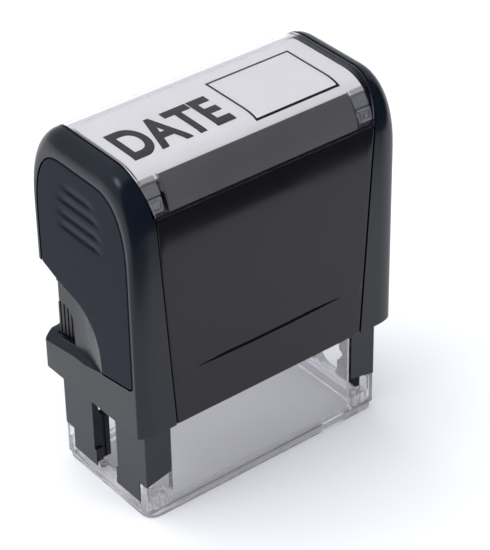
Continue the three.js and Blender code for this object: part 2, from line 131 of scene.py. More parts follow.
def spread(length, step, rim=RIM, extra=()):
    """Places along a length: evenly at about step, closer within rim of both ends, and at extra."""
    near = rim * np.array([0.0, 0.12, 0.3, 0.6, 1.0])
    middle = np.linspace(rim, length - rim, max(3, round(length / step)))
    places = np.concatenate([near, middle, length - near, np.ravel(extra)])
    places = np.sort(places[(places >= 0) & (places <= length)])
    return places[np.r_[True, np.diff(places) > 0.02]]


def fillet(distance, radius):
    """How far a quarter-round edge has fallen, at a distance in from the edge."""
    inside = radius - np.clip(distance, 0, radius)
    return radius - np.sqrt(np.maximum(radius**2 - inside**2, 0))


def quads(index):
    """Faces of a grid of vertex numbers."""
    return np.stack([index[:-1, :-1], index[1:, :-1], index[1:, 1:], index[:-1, 1:]], -1).reshape(-1, 4)


def strip(first, second):
    """Faces between two rows of vertex numbers."""
    return np.stack([first[:-1], second[:-1], second[1:], first[1:]], -1)


def shell(outer, inner):
    """A closed wall between two grids of points of one size: both skins and a strip round their edge."""
    rows, columns = outer.shape[:2]
    front = np.arange(rows * columns).reshape(rows, columns)
    back = front + rows * columns
    rim_front = np.r_[front[0], front[1:, -1], front[-1, -2::-1], front[-2::-1, 0]]
    rim_back = rim_front + rows * columns
    faces = [quads(front), quads(back)[:, ::-1], strip(rim_back, rim_front)]
    return np.r_[outer.reshape(-1, 3), inner.reshape(-1, 3)], np.concatenate(faces)


def tube(path, across, over, radius, sides=12):
    """A round profile carried along a path, with flat ends: point + r (cos a across + sin a over)."""
    angle = np.linspace(0, 2 * np.pi, sides, endpoint=False)
    ring = np.cos(angle)[None, :, None] * across[:, None] + np.sin(angle)[None, :, None] * over[:, None]
    points = (path[:, None] + radius * ring).reshape(-1, 3)
    index = np.arange(len(points)).reshape(len(path), sides)
    index = np.c_[index, index[:, :1]]
    return points, quads(index), [index[0, :-1].tolist(), index[-1, :-1][::-1].tolist()]


def arch_side(arch, foot):
    """Half an arch's side view as a fine polyline, up from its foot to the middle of its flat top."""
    t = np.linspace(0, np.pi / 2, 240)
    y = arch["flat"] + (arch["half"] - arch["flat"]) * np.cos(t) ** (2 / arch["power"])
    z = arch["spring"] + (arch["top"] - arch["spring"]) * np.sin(t) ** (2 / arch["power"])
    return np.c_[np.r_[arch["half"], y, 0], np.r_[foot, z, arch["top"]]]


class Path:
    """A polyline in the (Y, Z) plane with points and outward normals by arc length."""

    def __init__(self, points):
        step = np.hypot(*np.diff(points, axis=0).T)
        keep = np.r_[True, step > 1e-6]
        self.points = points[keep]
        self.at = np.r_[0, np.cumsum(np.hypot(*np.diff(self.points, axis=0).T))]
        self.length = self.at[-1]

    def point(self, s):
        return np.stack([np.interp(s, self.at, self.points[:, k]) for k in (0, 1)], -1)

    def normal(self, s, reach=0.25):
        low, high = np.clip(s - reach, 0, self.length), np.clip(s + reach, 0, self.length)
        along = self.point(high) - self.point(low)
        along /= np.linalg.norm(along, axis=-1, keepdims=True)
        return np.stack([-along[..., 1], along[..., 0]], -1)


def cut_path(side, low, high):
    """The stretch of a side view between two heights."""
    z = side[:, 1]
    ends = [[np.interp(h, z[:-1], side[:-1, 0]), h] for h in (low, high)]
    inside = side[:-1][(z[:-1] > low + 0.05) & (z[:-1] < high - 0.05)]
    return np.array([ends[0], *inside, ends[1]])


def seam_x(z):
    """Half width between the two end bands at a height."""
    return np.interp(z, [CAP_LOW[2], SEAM_KNEE_Z, ARCH["top"]], [SEAM_BOTTOM_X, SEAM_KNEE_X, SEAM_TOP_X])


def curved_plate(path, wall, cut=None, step=(1.1, 1.3), extra_s=(), extra_x=()):
    """A cover bent round an arch: the point at arc length s and width v has X = v times the half
    width at its height, and lies on the path, sunk along its normal by the edge fillets and by cut(x, s)."""
    s = spread(path.length, step[0], extra=extra_s)[:, None]
    point, normal = path.point(s[:, 0]), path.normal(s[:, 0])
    half = (seam_x(point[:, 1]) - GAP)[:, None]
    widest = half.max()
    v = spread(2 * widest, step[1], extra=[widest + np.ravel(extra_x)])[None] / widest - 1
    x = v * half
    sink = fillet((1 - np.abs(v)) * half, RIM) + fillet(np.minimum(s, path.length - s), RIM)
    sink = np.minimum(sink, 1.4 * RIM)
    if cut is not None:
        sink = sink + cut(x, s)
    place = np.stack([x, point[:, :1] + 0 * x, point[:, 1:] + 0 * x], -1)
    inward = -np.stack([0 * x, normal[:, :1] + 0 * x, normal[:, 1:] + 0 * x], -1)
    return shell(place + sink[..., None] * inward, place + wall * inward)


def curved_block(path, across, along, depth, rim, cut=None, step=0.5):
    """A rounded block laid under an arch: X and arc length run over across and along, the outer face is
    depth[0] below the arch plus the rim's fillet and cut(x, s), the inner face depth[1] below it."""
    x = across[0] + spread(across[1] - across[0], step, rim)[None]
    s = along[0] + spread(along[1] - along[0], step, rim)[:, None]
    edge_x = fillet(np.minimum(x - across[0], across[1] - x), rim)
    edge_s = fillet(np.minimum(s - along[0], along[1] - s), rim)
    sink = depth[0] + np.minimum(edge_x + edge_s, rim) + (0 if cut is None else cut(x, s))
    point, normal = path.point(s[:, 0]), path.normal(s[:, 0])
    place = np.stack([x + 0 * s, point[:, :1] + 0 * x, point[:, 1:] + 0 * x], -1)
    inward = -np.stack([0 * x + 0 * s, normal[:, :1] + 0 * x, normal[:, 1:] + 0 * x], -1)
    return shell(place + sink[..., None] * inward, place + depth[1] * inward)


# ---- meshes --------------------------------------------------------------------------------------


def add_object(name, data):
    """A new object at the origin with its data, linked to the scene."""
    made = bpy.data.objects.new(name, data)
    bpy.context.scene.collection.objects.link(made)
    return made


def mesh_points(mesh):
    """A mesh's vertices as an array of points."""
    points = np.zeros(len(mesh.vertices) * 3)
    mesh.vertices.foreach_get("co", points)
    return points.reshape(-1, 3)


def make_mesh(name, parts):
    """One object at the origin from closed parts of (points, faces[, more faces])."""
    points, faces, start = [], [], 0
    for part in parts:
        points.append(part[0])
        for group in part[1:]:
            if isinstance(group, np.ndarray):
                faces += (group + start).tolist()
            else:
                faces += [[corner + start for corner in face] for face in group]
        start += len(part[0])
    mesh = bpy.data.meshes.new(name)
    mesh.from_pydata(np.concatenate(points) * MM, [], faces)
    mesh.update()
    made = add_object(name, mesh)
    face_out(mesh)
    return made


def face_out(mesh):
    """Turns every closed part's faces outwards."""
    work = bmesh.new()
    work.from_mesh(mesh)
    bmesh.ops.recalc_face_normals(work, faces=work.faces)
    work.to_mesh(mesh)
    work.free()


def smooth(made, angle=38.0, weighted=True):
    """Smooth shading with edges sharper than the angle kept crisp."""
    made.data.shade_smooth()
    made.data.set_sharp_from_angle(angle=math.radians(angle))
    if weighted:
        even = made.modifiers.new("Even normals", "WEIGHTED_NORMAL")
        even.keep_sharp = True
    return made


def soften(node, name, width, segments=2, angle=40.0):
    """A CAD node's shape with merged corners, flat faces made whole and its edges rounded over."""
    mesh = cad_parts[node].data.copy()
    mesh.name = name
    if "custom_normal" in mesh.attributes:
        mesh.attributes.remove(mesh.attributes["custom_normal"])
    work = bmesh.new()
    work.from_mesh(mesh)
    bmesh.ops.remove_doubles(work, verts=work.verts, dist=MERGE)
    bmesh.ops.dissolve_limit(work, angle_limit=math.radians(FLAT_DEGREES), verts=work.verts, edges=work.edges)
    work.to_mesh(mesh)
    work.free()
    mesh.materials.clear()
    made = add_object(name, mesh)
    bevel = made.modifiers.new("Rounded edges", "BEVEL")
    bevel.width = width * MM
    bevel.segments = segments
    bevel.limit_method = "ANGLE"
    bevel.angle_limit = math.radians(angle)
    bevel.use_clamp_overlap = True
    bevel.miter_outer = "MITER_ARC"
    made.data.shade_smooth()
    even = made.modifiers.new("Even normals", "WEIGHTED_NORMAL")
    even.keep_sharp = True
    return made


def settle(made, body, material, nodes=()):
    """Gives a piece its finish and its body, and hides the CAD nodes it stands for."""
    made.data.materials.clear()
    made.data.materials.append(bpy.data.materials[material])
    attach(made, body)
    if nodes:
        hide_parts(*nodes)
    return made


# ---- shader groups and finishes ---------------------------------------------------------------------


class Nodes:
    """Short hand for adding and joining shader nodes."""

    def __init__(self, tree):
        self.tree = tree

    def add(self, kind, values=None, **settings):
        node = self.tree.nodes.new(kind)
        for key, value in settings.items():
            setattr(node, key, value)
        for key, value in (values or {}).items():
            if isinstance(value, bpy.types.NodeSocket):
                self.tree.links.new(value, node.inputs[key])
            else:
                node.inputs[key].default_value = value
        return node

    def math(self, operation, *values):
        return self.add("ShaderNodeMath", dict(enumerate(values)), operation=operation).outputs[0]


def new_group(name, inputs, outputs):
    """An empty shader node group with named float inputs and outputs."""
    tree = bpy.data.node_groups.new(name, "ShaderNodeTree")
    for label, default in inputs:
        socket = tree.interface.new_socket(label, in_out="INPUT", socket_type="NodeSocketFloat")
        socket.default_value = default
    for label in outputs:
        tree.interface.new_socket(label, in_out="OUTPUT", socket_type="NodeSocketFloat")
    nodes = Nodes(tree)
    return tree, nodes, nodes.add("NodeGroupInput").outputs, nodes.add("NodeGroupOutput").inputs


def make_moulded_group():
    """Moulded plastic: a fine pebbled grain, slow flow marks, and gloss that varies with both."""
    tree, nodes, given, out = new_group(
        "Moulded grain",
        [("Grain per metre", 2600.0), ("Roughness", 0.4), ("Spread", 0.08)],
        ["Height", "Roughness", "Tone"],
    )
    place = nodes.add("ShaderNodeTexCoord").outputs["Object"]
    fine = nodes.add(
        "ShaderNodeTexNoise", {"Vector": place, "Scale": given[0], "Detail": 3.0, "Roughness": 0.6}
    ).outputs["Fac"]
    cells = nodes.add(
        "ShaderNodeTexVoronoi", {"Vector": place, "Scale": nodes.math("MULTIPLY", given[0], 0.8)}
    ).outputs["Distance"]
    flow = nodes.add(
        "ShaderNodeTexNoise", {"Vector": place, "Scale": 38.0, "Detail": 4.0, "Roughness": 0.55}
    ).outputs["Fac"]
    nodes.tree.links.new(nodes.math("MULTIPLY_ADD", cells, 0.5, fine), out["Height"])
    centred = nodes.math("SUBTRACT", nodes.math("MULTIPLY_ADD", fine, 0.45, flow), 0.725)
    nodes.tree.links.new(nodes.math("MULTIPLY_ADD", centred, given[2], given[1]), out["Roughness"])
    nodes.tree.links.new(flow, out["Tone"])


def make_fibre_group():
    """Felt, foam and card: crossed stretched noise for fibres over a soft mottle."""
    tree, nodes, given, out = new_group(
        "Fibre", [("Fibres per metre", 3000.0), ("Stretch", 6.0)], ["Height", "Tone"]
    )
    place = nodes.add("ShaderNodeTexCoord").outputs["Object"]
    layers = []
    for turn in (0.3, 1.9):
        squeeze = nodes.add("ShaderNodeCombineXYZ", {"X": 1.0, "Z": 1.0})
        tree.links.new(given[1], squeeze.inputs["Y"])
        turned = nodes.add("ShaderNodeMapping", {"Vector": place, "Rotation": (0, 0, turn)})
        tree.links.new(squeeze.outputs[0], turned.inputs["Scale"])
        layers.append(
            nodes.add(
                "ShaderNodeTexNoise", {"Vector": turned.outputs[0], "Scale": given[0], "Detail": 2.0}
            ).outputs["Fac"]
        )
    mottle = nodes.add("ShaderNodeTexNoise", {"Vector": place, "Scale": 160.0, "Detail": 3.0}).outputs["Fac"]
    tree.links.new(nodes.math("MAXIMUM", *layers), out["Height"])
    tree.links.new(mottle, out["Tone"])


def new_material(name):
    """A material with only a Principled BSDF and its output."""
    material = bpy.data.materials.new(name)
    material.use_nodes = True
    nodes = Nodes(material.node_tree)
    return nodes, material.node_tree.nodes["Principled BSDF"]


def tone_colour(nodes, tone, colour, swing):
    """The colour, a little darker and lighter with a tone that runs about 0.5."""
    dark = [c * (1 - swing) for c in colour] + [1.0]
    light = [c * (1 + swing) for c in colour] + [1.0]
    mix = nodes.add("ShaderNodeMix", data_type="RGBA")
    nodes.tree.links.new(tone, mix.inputs["Factor"])
    mix.inputs["A"].default_value, mix.inputs["B"].default_value = dark, light
    return mix.outputs["Result"]


def plastic_finish(name, colour, roughness, bump=0.05, specular=0.5, skin=None):
    """Satin moulded plastic, with an optional second colour under the window, between its snap blocks: grey, painted
    in place of the clear window's reflection.
    """
    nodes, surface = new_material(name)
    group = nodes.add("ShaderNodeGroup", node_tree=bpy.data.node_groups["Moulded grain"])
    for key, value in (("Grain per metre", 2600.0), ("Roughness", roughness), ("Spread", 0.1)):
        group.inputs[key].default_value = value
    colour_socket = tone_colour(nodes, group.outputs["Tone"], colour, 0.25)
    if skin:
        # grey painted reflection of the window on the housing under it: where |X| is under the half width and above
        # the window's lowest edge
        place = nodes.add("ShaderNodeTexCoord").outputs["Object"]
        axes = nodes.add("ShaderNodeSeparateXYZ", {0: place}).outputs
        between = nodes.math("LESS_THAN", nodes.math("ABSOLUTE", axes["X"]), PAINTED_REFLECTION_HALF * MM)
        above = nodes.math("GREATER_THAN", axes["Z"], (LID_LOW[2] + 0.1) * MM)
        pick = nodes.add("ShaderNodeMix", data_type="RGBA")
        nodes.tree.links.new(nodes.math("MULTIPLY", between, above), pick.inputs["Factor"])
        nodes.tree.links.new(colour_socket, pick.inputs["A"])
        nodes.tree.links.new(tone_colour(nodes, group.outputs["Tone"], skin, 0.1), pick.inputs["B"])
        colour_socket = pick.outputs["Result"]
    nodes.tree.links.new(colour_socket, surface.inputs["Base Color"])
    nodes.tree.links.new(group.outputs["Roughness"], surface.inputs["Roughness"])
    relief = nodes.add("ShaderNodeBump", {"Strength": bump, "Distance": 2e-5, "Height": group.outputs["Height"]})
    nodes.tree.links.new(relief.outputs[0], surface.inputs["Normal"])
    surface.inputs["Specular IOR Level"].default_value = specular
    surface.inputs["IOR"].default_value = 1.5


def clear_finish(name, colour, roughness, transmission=1.0, frost=0.0, specular=0.5, bump=0.04, tint=1.0):
    """Clear moulded plastic that lets lamps through; tint scales its head-on reflection."""
    nodes, surface = new_material(name)
    surface.inputs["Base Color"].default_value = (*colour, 1)
    surface.inputs["Transmission Weight"].default_value = transmission
    surface.inputs["IOR"].default_value = 1.49
    surface.inputs["Specular IOR Level"].default_value = specular
    surface.inputs["Specular Tint"].default_value = (tint, tint, tint, 1)
    group = nodes.add("ShaderNodeGroup", node_tree=bpy.data.node_groups["Moulded grain"])
    for key, value in (("Grain per metre", 500.0), ("Roughness", roughness), ("Spread", frost)):
        group.inputs[key].default_value = value
    nodes.tree.links.new(group.outputs["Roughness"], surface.inputs["Roughness"])
    relief = nodes.add("ShaderNodeBump", {"Strength": bump, "Distance": 2e-5, "Height": group.outputs["Height"]})
    nodes.tree.links.new(relief.outputs[0], surface.inputs["Normal"])
    open_way = nodes.add("ShaderNodeBsdfTransparent", {"Color": (0.95, 0.95, 0.96, 1)})
    rays = nodes.add("ShaderNodeLightPath")
    mix = nodes.add(
        "ShaderNodeMixShader",
        {0: rays.outputs["Is Shadow Ray"], 1: surface.outputs[0], 2: open_way.outputs[0]},
    )
    nodes.tree.links.new(mix.outputs[0], nodes.tree.nodes["Material Output"].inputs["Surface"])


def fibre_finish(name, colour, roughness, fibres, stretch, bump, sheen=0.0, cut_edge=None, specular=0.5):
    """Felt, foam, rubber or card; cut_edge is the colour along the edges that lie across Y."""
    nodes, surface = new_material(name)
    group = nodes.add("ShaderNodeGroup", node_tree=bpy.data.node_groups["Fibre"])
    group.inputs["Fibres per metre"].default_value = fibres
    group.inputs["Stretch"].default_value = stretch
    colour_socket = tone_colour(nodes, group.outputs["Tone"], colour, 0.05 if sheen == 0 else 0.3)
    if cut_edge:
        place = nodes.add("ShaderNodeTexCoord").outputs["Object"]
        axes = nodes.add("ShaderNodeSeparateXYZ", {0: place}).outputs
        edge = (CARD_HIGH[1] - 0.2) * MM
        pick = nodes.add("ShaderNodeMix", {"B": (*cut_edge, 1)}, data_type="RGBA")
        nodes.tree.links.new(
            nodes.math("GREATER_THAN", nodes.math("ABSOLUTE", axes["Y"]), edge), pick.inputs["Factor"]
        )
        nodes.tree.links.new(colour_socket, pick.inputs["A"])
        colour_socket = pick.outputs["Result"]
    nodes.tree.links.new(colour_socket, surface.inputs["Base Color"])
    surface.inputs["Roughness"].default_value = roughness
    surface.inputs["Sheen Weight"].default_value = sheen
    surface.inputs["Specular IOR Level"].default_value = specular
    relief = nodes.add("ShaderNodeBump", {"Strength": bump, "Distance": 5e-5, "Height": group.outputs["Height"]})
    nodes.tree.links.new(relief.outputs[0], surface.inputs["Normal"])


def steel_finish(name, colour, roughness):
    """Bright drawn wire with fine marks along it."""
    nodes, surface = new_material(name)
    place = nodes.add("ShaderNodeTexCoord").outputs["Object"]
    marks = nodes.add("ShaderNodeTexNoise", {"Vector": place, "Scale": 1800.0, "Detail": 2.0}).outputs["Fac"]
    nodes.tree.links.new(tone_colour(nodes, marks, colour, 0.15), surface.inputs["Base Color"])
    nodes.tree.links.new(nodes.math("MULTIPLY_ADD", marks, 0.2, roughness - 0.1), surface.inputs["Roughness"])
    surface.inputs["Metallic"].default_value = 1.0


# ---- settings ----------------------------------------------------------------------------------------


def colour_property(name, description, default):
    """A colour that the user can pick."""
    return FloatVectorProperty(name=name, description=description, default=default, subtype="COLOR", min=0, max=1)


class StampColours(bpy.types.PropertyGroup):
    """Colours of the stamp's finishes."""

    housing: colour_property("Housing", "End bands and lower lip", (0.004, 0.0065, 0.0115))
    # grey painted in place of the window's reflection, on the housing under the window
    skin: colour_property("Skin", "Grey painted reflection of the window, on the housing", (0.085, 0.083, 0.083))
    cover: colour_property("Covers", "Front and back covers", (0.0065, 0.006, 0.008))
    grip: colour_property("Grips", "Thumb panels on the two ends", (0.004, 0.007, 0.015))
    stand: colour_property("Stand", "Legged frame under the cap", (0.006, 0.008, 0.016))
    inner: colour_property("Inner parts", "Cartridge, bridge and platen", (0.006, 0.006, 0.007))
    clear: colour_property("Window", "Clear window over the card", (0.97, 0.97, 0.98))
    base: colour_property("Base", "Clear base, faintly milky", (0.88, 0.87, 0.905))
    card: colour_property("Card", "Index card in the window", (0.76, 0.745, 0.75))
    print_ink: colour_property("Print", "Word and outlined box", (0.002, 0.002, 0.002))
    felt: colour_property("Ink pad", "Felt soaked in black ink", (0.012, 0.012, 0.016))
    foam: colour_property("Cushion", "Foam behind the text plate", (0.22, 0.22, 0.23))
    rubber: colour_property("Text plate", "Cut rubber sheet", (0.09, 0.06, 0.055))
    steel: colour_property("Spring", "Drawn spring wire", (0.6, 0.61, 0.63))


class StampSizes(bpy.types.PropertyGroup):
    """Sizes that a user would change."""

    edge: FloatProperty(
        name="Edge rounding", description="Rounding of moulded edges", default=0.22 * MM, unit="LENGTH", min=0
    )
    crease: FloatProperty(
        name="Crease depth", description="Depth of the front cover's crease", default=0.45 * MM, unit="LENGTH", min=0
    )
    groove: FloatProperty(
        name="Thumb groove depth", description="Depth of the grooves on the grips", default=0.3 * MM, unit="LENGTH"
    )
    word: StringProperty(name="Word", description="Generic word printed on the card", default="DATE")
    wire: FloatProperty(name="Wire", description="Thickness of the spring's wire", default=0.8 * MM, unit="LENGTH")


# ---- operators ----------------------------------------------------------------------------------------


class STAMP_OT_finishes(bpy.types.Operator):
    """Make the shader groups and every finish of the stamp"""

    bl_idname = "stamp.finishes"
    bl_label = "Finishes"

    def execute(self, context):
        colours = context.scene.stamp_colours
        make_moulded_group()
        make_fibre_group()
        # the housing's second colour is the grey painted reflection of the window
        plastic_finish("Housing plastic", colours.housing, 0.22, bump=0.05, specular=0.33, skin=tuple(colours.skin))
        plastic_finish("Cover plastic", colours.cover, 0.08, bump=0.015, specular=0.27)
        plastic_finish("Grip plastic", colours.grip, 0.3, bump=0.06, specular=0.05)
        plastic_finish("Stand plastic", colours.stand, 0.34, bump=0.1, specular=0.38)
        plastic_finish("Inner plastic", colours.inner, 0.5, bump=0.08)
        clear_finish("Clear plastic", colours.base, 0.03, transmission=0.88)
        # grey painted reflection of the window, for the sheet under its shoulders
        plastic_finish("Skin plastic", colours.skin, 0.5, bump=0.04, specular=0.2)
        clear_finish("Window plastic", colours.clear, 0.01, specular=0.12, bump=0.006, tint=0.1)
        clear_finish("Frosted clear plastic", FROSTED, 0.1, transmission=0.75, frost=0.05, specular=0.8)
        fibre_finish("Card", colours.card, 0.75, 4200.0, 5.0, 0.05, cut_edge=CUT_EDGE)
        fibre_finish("Print", colours.print_ink, 0.8, 4200.0, 5.0, 0.05, specular=0.1)
        fibre_finish("Felt", colours.felt, 0.95, 2600.0, 5.0, 0.9, sheen=0.35)
        fibre_finish("Foam", colours.foam, 0.95, 3200.0, 1.2, 0.8, sheen=0.1)
        fibre_finish("Rubber", colours.rubber, 0.7, 2200.0, 1.1, 0.2)
        steel_finish("Spring steel", colours.steel, 0.28)
        return {"FINISHED"}


class STAMP_OT_housing(bpy.types.Operator):
    """Make the cap's housing: end bands, lower lip and inner walls"""

    bl_idname = "stamp.housing"
    bl_label = "Cap housing"

    def execute(self, context):
        edge = context.scene.stamp_sizes.edge / MM
        made = soften("cap_housing", "cap_shell", edge)
        settle(made, "cap", "Housing plastic", ["cap_housing"])
        return {"FINISHED"}


class STAMP_OT_covers(bpy.types.Operator):
    """Make the front cover with its crease, and the back cover"""

    bl_idname = "stamp.covers"
    bl_label = "Front and back covers"

    def execute(self, context):
        depth = context.scene.stamp_sizes.crease / MM
        bottom, height = FRONT_LOW[2], CREASE["height"]

        def crease(x, s):
            """Lens between two arcs: full depth where |z - height| is under rise (1 - (x/half)^2)."""
            opening = CREASE["rise"] * np.maximum(1 - (x / CREASE["half"]) ** 2, 0)
            inside = np.clip((opening - np.abs(s + bottom - height)) / CREASE["wall"], 0, 1)
            return depth * inside * np.clip(opening / CREASE["fade"], 0, 1)

        side = arch_side(ARCH, bottom) * (-1, 1)
        front = Path(cut_path(side, bottom, FRONT_HIGH[2]))
        rows = height - bottom + np.linspace(-0.8, 0.8, 21)
        made = make_mesh("front_cover", [curved_plate(front, WALL, crease, extra_s=rows)])
        settle(smooth(made), "cap", "Cover plastic", ["front_panel"])

        back = Path(cut_path(arch_side(ARCH, bottom), BACK_LOW[2], BACK_HIGH[2])[::-1])
        made = make_mesh("back_cover", [curved_plate(back, WALL)])
        settle(smooth(made), "cap", "Cover plastic", ["back_panel"])
        return {"FINISHED"}


def lip_z(y):
    """Height of the lower lip's top: its centre plus the slope times the place along Y."""
    return LIP_CENTRE + LIP_SLOPE * y


def grip_edges(y):
    """Lower and upper outline of a thumb panel at a place along Y."""
    corner = 1.3
    sweep = np.array(SWEEP)
    fine = np.linspace(0, len(sweep) - 1, 200)
    steps = np.arange(len(sweep))
    # smooth curve through the sweep's points, by cubic blends of its chords' directions
    slope = np.gradient(sweep, axis=0)
    k = np.minimum(fine.astype(int), len(sweep) - 2)
    t = (fine - steps[k])[:, None]
    hermite = (
        (2 * t**3 - 3 * t**2 + 1) * sweep[k]
        + (t**3 - 2 * t**2 + t) * slope[k]
        + (3 * t**2 - 2 * t**3) * sweep[k + 1]
        + (t**3 - t**2) * slope[k + 1]
    )
    low = np.where(y < sweep[0, 0], lip_z(y), np.interp(y, hermite[:, 0], hermite[:, 1]))
    into = y + GRIP_ARCH["half"]
    low = low + fillet(into, corner)
    across = np.clip((np.abs(y) - GRIP_ARCH["flat"]) / (GRIP_ARCH["half"] - GRIP_ARCH["flat"]), 0, 1)
    high = GRIP_ARCH["spring"] + (GRIP_ARCH["top"] - GRIP_ARCH["spring"]) * np.maximum(
        1 - across ** GRIP_ARCH["power"], 0
    ) ** (1 / GRIP_ARCH["power"])
    return low, high


def grip_panel(depth):
    """A thumb panel on the right end: columns between its lower and upper outline, at X of its face
    less the rim's fillet by distance to the outline and four soft grooves, sharper below than above."""
    half = GRIP_ARCH["half"]
    jump = SWEEP[0][0] + np.linspace(-0.3, 2.6, 26)
    turn = half * np.sin(np.linspace(0.75, 1, 16) * np.pi / 2)
    y = np.unique(np.round(np.r_[spread(2 * half, 0.5) - half, jump, turn, -turn], 3))
    low, high = grip_edges(y)
    row = spread(ROWS, 0.45, rim=0.7)[:, None] / ROWS
    z = low + (high - low) * row
    yy = y + 0 * z
    outline = np.r_[np.c_[y, low], np.c_[y[::-1], high[::-1]]]
    start, end = outline, np.roll(outline, -1, axis=0)
    along = end - start
    size = np.maximum((along**2).sum(-1), 1e-9)
    offset = np.stack([yy, z], -1)[..., None, :] - start
    share = np.clip((offset * along).sum(-1) / size, 0, 1)[..., None]
    distance = np.linalg.norm(offset - share * along, axis=-1).min(-1)
    sink = fillet(distance, RIM)
    for height, reach in THUMB_GROOVES:
        rise = z - height
        section = np.exp(-((rise / np.where(rise < 0, GROOVE_BELOW, GROOVE_ABOVE)) ** 2))
        ends = np.clip((reach - np.abs(yy - THUMB_CENTRE_Y)) / GROOVE_FADE, 0, 1)
        sink = sink + depth * section * ends * ends * (3 - 2 * ends)
    outer = np.stack([GRIP_HIGH[0] - sink, yy, z], -1)
    inner = np.stack([GRIP_LOW[0] + 0 * z, yy, z], -1)
    return shell(outer, inner)


class STAMP_OT_grips(bpy.types.Operator):
    """Make the two thumb panels with their soft grooves"""

    bl_idname = "stamp.grips"
    bl_label = "Thumb panels"

    def execute(self, context):
        points, faces = grip_panel(context.scene.stamp_sizes.groove / MM)
        for side, turn in (("right", 1), ("left", -1)):
            made = make_mesh(f"thumb_panel_{side}", [(points * (turn, 1, 1), faces)])
            settle(smooth(made), "cap", "Grip plastic", [f"grip_panel_{side}"])
        return {"FINISHED"}


class STAMP_OT_window(bpy.types.Operator):
    """Make the clear window and the snap blocks under its corners"""

    bl_idname = "stamp.window"
    bl_label = "Window"

    def execute(self, context):
        side = arch_side(ARCH, CAP_LOW[2])
        half = cut_path(side, LID_LOW[2], ARCH["top"])
        flat = side[-1:]
        path = Path(np.r_[half * (-1, 1), flat, half[::-1]])

        def mark(x, s):
            """Short moulded slots across both shoulders."""
            near = np.minimum(s, path.length - s)
            column = sum(np.clip(1 - np.abs(x - m) / 0.4, 0, 1) for m in MARKS_X)
            return MARK_DEPTH * column * np.clip((1.9 - np.abs(near - MARK_S)) / 0.5, 0, 1)

        fine = np.concatenate([np.array(m) + np.linspace(-0.5, 0.5, 9) for m in MARKS_X])
        made = make_mesh(
            "window_clear", [curved_plate(path, LID_WALL, mark, step=(0.6, 1.5), extra_x=fine)]
        )
        settle(smooth(made), "lid", "Window plastic", ["window_lid"])
        snaps = [
            self.mirrored(path, part, side, end)
            for part in self.snap_parts()
            for side in (1, -1)
            for end in (1, -1)
        ]
        made = make_mesh("window_snaps", snaps)
        settle(smooth(made), "lid", "Frosted clear plastic")
        # a grey sheet under the window's shoulders: painted reflection of the clear window over the dark housing
        skin = curved_block(path, (-PAINTED_REFLECTION_HALF, PAINTED_REFLECTION_HALF), PAINTED_REFLECTION_ALONG, PAINTED_REFLECTION_DEPTH, 0.04)
        made = make_mesh("window_painted_reflection", [skin, (skin[0] * (1, -1, 1), skin[1])])
        settle(smooth(made), "cap", "Skin plastic")
        return {"FINISHED"}

    def snap_parts(self):
        """Across, along, depth, rim and cut of one corner's bar, web, end rib and square boss."""
        def boss(x, s):
            """Square rings by the larger of the two distances from the boss's centre."""
            away = np.maximum(np.abs(np.abs(x) - BOSS_X), np.abs(s - BOSS_S))
            ring = np.clip((away - 0.5) / 0.1, 0, 1) * np.clip((1.0 - away) / 0.1, 0, 1)
            return 0.75 * ring + 0.35 * np.clip((away - 1.35) / 0.1, 0, 1)

        return (
            ((25.0, 28.7), (8.3, 9.5), (1.2, 2.4), 0.5, None, 0.3),
            ((25.0, 28.7), (4.7, 8.2), (1.75, 2.2), 0.1, None, 0.5),
            ((24.4, 24.6), (5.2, 9.4), (1.2, 2.3), 0.08, None, 0.5),
            ((25.2, 28.6), (1.3, 4.4), (1.2, 2.4), 0.12, boss, 0.12),
        )

    def mirrored(self, path, part, side, end):
        """A corner's part, turned over to the right or left end and to the front or back shoulder."""
        across, along, depth, rim, cut, step = part
        points, faces = curved_block(path, across, along, depth, rim, cut, step)
        return points * (side, end, 1), faces


def card_z(y, lift=0.0):
    """Height of the card's top along Y: spring + rise (1 - across^power)^(1/power) past its flat, plus lift."""
    across = np.clip((np.abs(y) - CARD_ARCH["flat"]) / (CARD_ARCH["half"] - CARD_ARCH["flat"]), 0, 1)
    rise = np.maximum(1 - across ** CARD_ARCH["power"], 0) ** (1 / CARD_ARCH["power"])
    return CARD_ARCH["spring"] + (CARD_ARCH["top"] - CARD_ARCH["spring"]) * rise + lift


